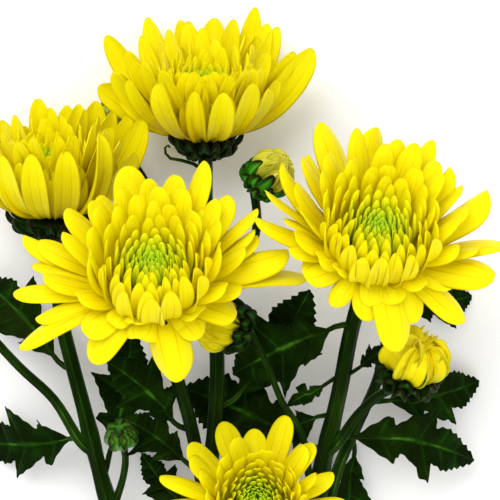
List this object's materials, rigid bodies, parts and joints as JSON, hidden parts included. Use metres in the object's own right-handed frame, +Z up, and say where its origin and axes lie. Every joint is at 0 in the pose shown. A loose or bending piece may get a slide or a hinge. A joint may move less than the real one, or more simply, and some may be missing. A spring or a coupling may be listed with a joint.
{
  "type": "cut spray chrysanthemum",
  "caption": "Cut stem of a spray chrysanthemum, lying down: a branching green stem with lobed leaves, open double yellow flowers with green hearts, and buds.",
  "frame": {"origin": "middle of the underside of the whole spray's box, on the surface that it lies on", "axes": "+Y along the stem from its cut end towards the top flower, +X to the right as seen from above with the flowers at the far end, +Z up from the surface"},
  "size_m": [0.1694, 0.2964, 0.0891],
  "materials": {
    "petal": "soft satin petal, bright golden yellow, slightly translucent, fine lengthwise grooves",
    "heart": "tightly packed young florets, yellow outside to lime green in the middle",
    "bud_petal": "closed petals of a bud, dull golden yellow with green towards the base",
    "green_bud": "shut green bud, smooth and slightly glossy",
    "calyx": "overlapping dark green bracts with purple-brown edges",
    "leaf": "dark green, low sheen, paler raised veins underneath",
    "stem": "ribbed dark green stem, low sheen"
  },
  "bodies": {
    "root": {"back_bud_calyx": "calyx", "back_bud_petals": "bud_petal", "centre_lower_leaf": "leaf", "centre_pointed_leaf": "leaf", "centre_upper_leaf": "leaf", "curled_bract": "stem", "far_left_bud": "green_bud", "front_flower_calyx": "calyx", "front_flower_heart": "heart", "front_flower_middle_petals": "petal", "front_flower_outer_petals": "petal", "front_flower_stalk": "stem", "left_bud_stalk": "stem", "left_flower_calyx": "calyx", "left_flower_heart": "heart", "left_flower_middle_petals": "petal", "left_flower_outer_petals": "petal", "left_inner_leaf": "leaf", "left_lower_leaf": "leaf", "left_stem": "stem", "left_upper_leaf": "leaf", "lower_bud_calyx": "calyx", "lower_bud_petals": "bud_petal", "lower_bud_stalk": "stem", "lower_flower_calyx": "calyx", "lower_flower_heart": "heart", "lower_flower_middle_petals": "petal", "lower_flower_outer_petals": "petal", "lower_flower_stalk": "stem", "main_stem": "stem", "middle_lower_leaf": "leaf", "middle_upper_leaf": "leaf", "right_back_stem": "stem", "right_big_leaf": "leaf", "right_bud_calyx": "calyx", "right_bud_petals": "bud_petal", "right_bud_stalk": "stem", "right_dark_leaf": "leaf", "right_flower_calyx": "calyx", "right_flower_heart": "heart", "right_flower_middle_petals": "petal", "right_flower_outer_petals": "petal", "right_hidden_leaf": "leaf", "right_inner_leaf": "leaf", "right_joint_leaf": "leaf", "right_lower_leaf": "leaf", "right_stem": "stem", "right_upper_leaf": "leaf", "small_bud_stalk": "stem", "small_green_bud": "green_bud", "small_right_leaf": "leaf", "top_flower_calyx": "calyx", "top_flower_heart": "heart", "top_flower_middle_petals": "petal", "top_flower_outer_petals": "petal", "top_left_bud": "green_bud", "top_left_bud_stalk": "stem", "upper_bud_calyx": "calyx", "upper_bud_petals": "bud_petal", "upper_bud_stalk": "stem"}
  },
  "joints": []
}
